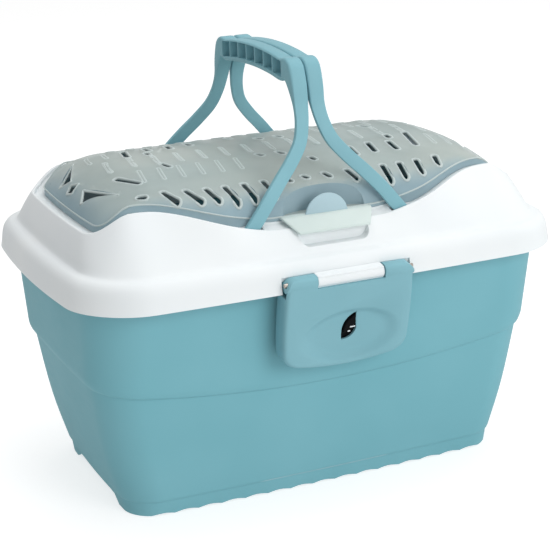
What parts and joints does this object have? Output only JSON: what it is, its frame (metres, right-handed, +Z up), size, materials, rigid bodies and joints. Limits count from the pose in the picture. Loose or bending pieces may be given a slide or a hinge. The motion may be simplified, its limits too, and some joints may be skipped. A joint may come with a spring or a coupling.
{
  "type": "pet carrier",
  "caption": "Pet carrier: tapered plastic tub, domed hinged lid with a slotted top door, folding bails, and a hinged latch with a sliding lock.",
  "frame": {"origin": "on the ground under the middle of the carrier, halfway between its front and rear reach", "axes": "+Z up, +X along the long side towards its right end, -Y towards the latch"},
  "size_m": [0.49, 0.3499, 0.4042],
  "materials": {
    "teal_plastic": "moulded satin grey-teal polypropylene",
    "white_plastic": "moulded soft-gloss white polypropylene",
    "frosted_plastic": "milky see-through grey-green plastic, softly glossy",
    "black_plastic": "moulded black plastic",
    "pin_steel": "plain drawn steel wire"
  },
  "bodies": {
    "tub": {"tub": "teal_plastic", "tub_floor": "teal_plastic", "latch_catch": "teal_plastic", "latch_rib": "teal_plastic", "lid_hinge_pin_right": "pin_steel", "lid_hinge_pin_left": "pin_steel"},
    "lid": {"lid": "white_plastic", "right_bail_rear_pin": "pin_steel", "right_bail_front_pin": "pin_steel", "left_bail_rear_pin": "pin_steel", "left_bail_front_pin": "pin_steel", "door_hinge_pin_right": "pin_steel", "door_hinge_pin_left": "pin_steel", "latch_pin": "pin_steel"},
    "top_door": {"top_door": "frosted_plastic"},
    "right_bail": {"right_bail": "teal_plastic"},
    "left_bail": {"left_bail": "teal_plastic"},
    "latch": {"latch_plate": "teal_plastic", "slide_keeper": "teal_plastic", "keeper_screw_right": "pin_steel", "keeper_screw_left": "pin_steel"},
    "lock": {"lock_slide": "black_plastic"}
  },
  "joints": [
    {"name": "lid_hinge", "type": "hinge", "parent": "tub", "child": "lid", "pos_m": [0, 0.1698, 0.226], "axis": [-1, 0, 0], "range_deg": [0, 100]},
    {"name": "door_hinge", "type": "hinge", "parent": "lid", "child": "top_door", "pos_m": [0, 0.1255, 0.266], "axis": [-1, 0, 0], "range_deg": [0, 2]},
    {"name": "right_bail_fold", "type": "hinge", "parent": "lid", "child": "right_bail", "pos_m": [0.078, 0, 0.258], "axis": [0, -1, 0], "range_deg": [-90, 0]},
    {"name": "left_bail_fold", "type": "hinge", "parent": "lid", "child": "left_bail", "pos_m": [-0.078, 0, 0.258], "axis": [0, 1, 0], "range_deg": [-90, 0]},
    {"name": "latch_hinge", "type": "hinge", "parent": "lid", "child": "latch", "pos_m": [0, -0.168, 0.222], "axis": [-1, 0, 0], "range_deg": [0, 95]},
    {"name": "lock_slide", "type": "slide", "parent": "latch", "child": "lock", "axis": [0, 0.1938, -0.981], "range_m": [0, 0.007]}
  ]
}
